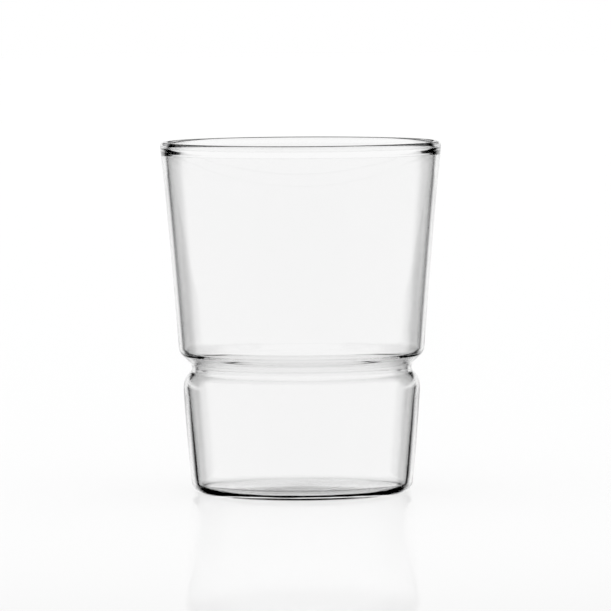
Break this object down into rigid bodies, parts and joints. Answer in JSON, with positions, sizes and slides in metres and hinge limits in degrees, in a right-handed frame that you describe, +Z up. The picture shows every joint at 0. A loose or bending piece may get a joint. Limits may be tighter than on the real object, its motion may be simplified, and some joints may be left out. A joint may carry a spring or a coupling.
{
  "type": "water tumbler",
  "caption": "Clear thin-walled glass water tumbler: a flared bowl with a beaded rim over a narrow waist and a tapered lower cup with a flat foot ring.",
  "frame": {"origin": "on the table, under the middle of the base", "axes": "+Z up the glass's axis, from the foot ring to the rim; X and Y are level and alike, because the glass is round"},
  "size_m": [0.08, 0.08, 0.1],
  "materials": {
    "clear_glass": "flame-worked borosilicate glass, smooth and clear"
  },
  "bodies": {
    "root": {"base_disc": "clear_glass", "lower_cup": "clear_glass", "waist_ring": "clear_glass", "upper_bowl": "clear_glass", "rim_bead": "clear_glass"}
  },
  "joints": []
}
